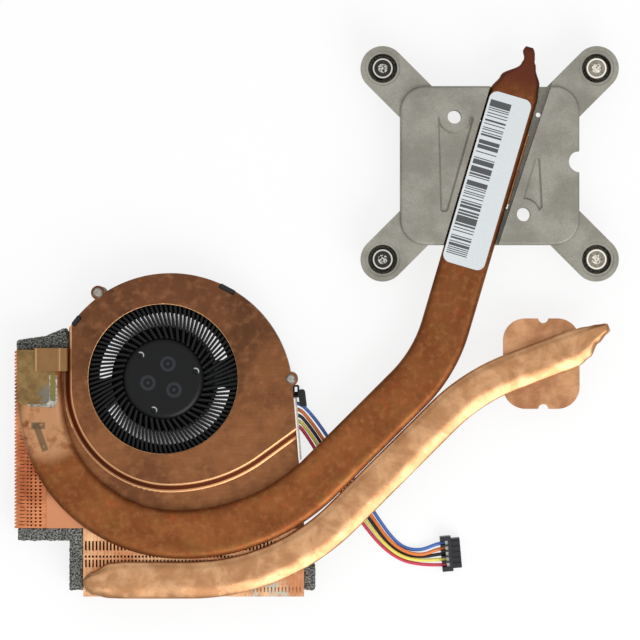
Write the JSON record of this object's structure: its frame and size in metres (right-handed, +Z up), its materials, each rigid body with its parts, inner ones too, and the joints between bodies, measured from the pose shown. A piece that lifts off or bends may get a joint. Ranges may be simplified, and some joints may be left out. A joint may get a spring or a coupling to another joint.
{
  "type": "laptop cooling fan heatsink",
  "caption": "Flat blower fan with copper cover, two flattened heat pipes running over fin stacks to a spring-screw processor bracket and a graphics plate, with a wired plug.",
  "frame": {"origin": "the fan impeller's axis, in the plane of the fan's underside", "axes": "+Z up out of the air inlet, along the impeller's axis; the air leaves through the fins at -X and -Y; the processor bracket lies towards +X and +Y, square to both axes"},
  "size_m": [0.1365, 0.1247, 0.0107],
  "materials": {
    "cover_copper": "satin, tarnished",
    "pipe_copper_brown": "satin, tarnished",
    "pipe_copper_bright": "semi-gloss",
    "fin_copper": "satin",
    "pad_copper": "satin",
    "aged_brass": "satin",
    "solder_grey": "matte",
    "die_cast_grey": "matte",
    "black_plastic": "satin",
    "blade_plastic": "satin",
    "screw_steel": "polished",
    "dark_steel": "satin",
    "spring_steel": "satin",
    "bearing_bronze": "satin",
    "magnet_black": "matte",
    "core_steel": "satin",
    "winding_copper": "satin",
    "board_green": "satin",
    "foam_grey": "matte",
    "label_white": "matte",
    "film_white": "satin",
    "wire_blue": "satin",
    "wire_orange": "satin",
    "wire_black": "satin",
    "wire_yellow": "satin",
    "wire_red": "satin",
    "plug_black": "satin",
    "terminal_tin": "satin"
  },
  "bodies": {
    "heatsink": {"fan_cover": "cover_copper", "fan_base": "black_plastic", "cover_screws": "screw_steel", "wire_shield_strip": "film_white", "bearing_sleeve": "bearing_bronze", "thrust_washer": "black_plastic", "stator_core": "core_steel", "stator_coils": "winding_copper", "motor_circuit_board": "board_green", "side_fin_stack": "fin_copper", "rear_fin_stack": "fin_copper", "cpu_heat_pipe": "pipe_copper_brown", "gpu_heat_pipe": "pipe_copper_bright", "cpu_bracket": "die_cast_grey", "cpu_contact_plate": "pad_copper", "gpu_contact_plate": "pad_copper", "pipe_end_plate": "aged_brass", "pipe_end_clip": "aged_brass", "plate_solder": "solder_grey", "foam_side_top": "foam_grey", "foam_side_bottom": "foam_grey", "foam_rear_left": "foam_grey", "foam_rear_right": "foam_grey", "pipe_label": "label_white", "wire_blue": "wire_blue", "wire_orange": "wire_orange", "wire_black": "wire_black", "wire_yellow": "wire_yellow", "wire_red": "wire_red", "plug_housing": "plug_black", "plug_terminals": "terminal_tin"},
    "rotor": {"impeller": "blade_plastic", "rotor_yoke": "core_steel", "rotor_magnet": "magnet_black", "rotor_shaft": "screw_steel"},
    "ring_1": {"retaining_ring_1": "dark_steel", "screw_spring_1": "spring_steel"},
    "screw_1": {"captive_screw_1": "dark_steel"},
    "ring_2": {"retaining_ring_2": "dark_steel", "screw_spring_2": "spring_steel"},
    "screw_2": {"captive_screw_2": "screw_steel"},
    "ring_3": {"retaining_ring_3": "dark_steel", "screw_spring_3": "spring_steel"},
    "screw_3": {"captive_screw_3": "screw_steel"},
    "ring_4": {"retaining_ring_4": "dark_steel", "screw_spring_4": "spring_steel"},
    "screw_4": {"captive_screw_4": "dark_steel"}
  },
  "joints": [
    {"name": "impeller_spin", "type": "hinge", "parent": "heatsink", "child": "rotor", "pos_m": [0, 0, 0.004], "axis": [0, 0, 1], "continuous": true},
    {"name": "screw_1_press", "type": "slide", "parent": "heatsink", "child": "ring_1", "axis": [0, 0, -1], "range_m": [0, 0.0015], "stiffness_N_per_m": 1500, "springref_m": -0.001, "deforming": ["screw_spring_1"]},
    {"name": "screw_1_turn", "type": "hinge", "parent": "ring_1", "child": "screw_1", "pos_m": [0.04954, 0.07008, 0.004], "axis": [0, 0, 1], "continuous": true},
    {"name": "screw_2_press", "type": "slide", "parent": "heatsink", "child": "ring_2", "axis": [0, 0, -1], "range_m": [0, 0.0015], "stiffness_N_per_m": 1500, "springref_m": -0.001, "deforming": ["screw_spring_2"]},
    {"name": "screw_2_turn", "type": "hinge", "parent": "ring_2", "child": "screw_2", "pos_m": [0.0978, 0.07008, 0.004], "axis": [0, 0, 1], "continuous": true},
    {"name": "screw_3_press", "type": "slide", "parent": "heatsink", "child": "ring_3", "axis": [0, 0, -1], "range_m": [0, 0.0015], "stiffness_N_per_m": 1500, "springref_m": -0.001, "deforming": ["screw_spring_3"]},
    {"name": "screw_3_turn", "type": "hinge", "parent": "ring_3", "child": "screw_3", "pos_m": [0.0978, 0.02698, 0.004], "axis": [0, 0, 1], "continuous": true},
    {"name": "screw_4_press", "type": "slide", "parent": "heatsink", "child": "ring_4", "axis": [0, 0, -1], "range_m": [0, 0.0015], "stiffness_N_per_m": 1500, "springref_m": -0.001, "deforming": ["screw_spring_4"]},
    {"name": "screw_4_turn", "type": "hinge", "parent": "ring_4", "child": "screw_4", "pos_m": [0.04954, 0.02698, 0.004], "axis": [0, 0, 1], "continuous": true}
  ]
}
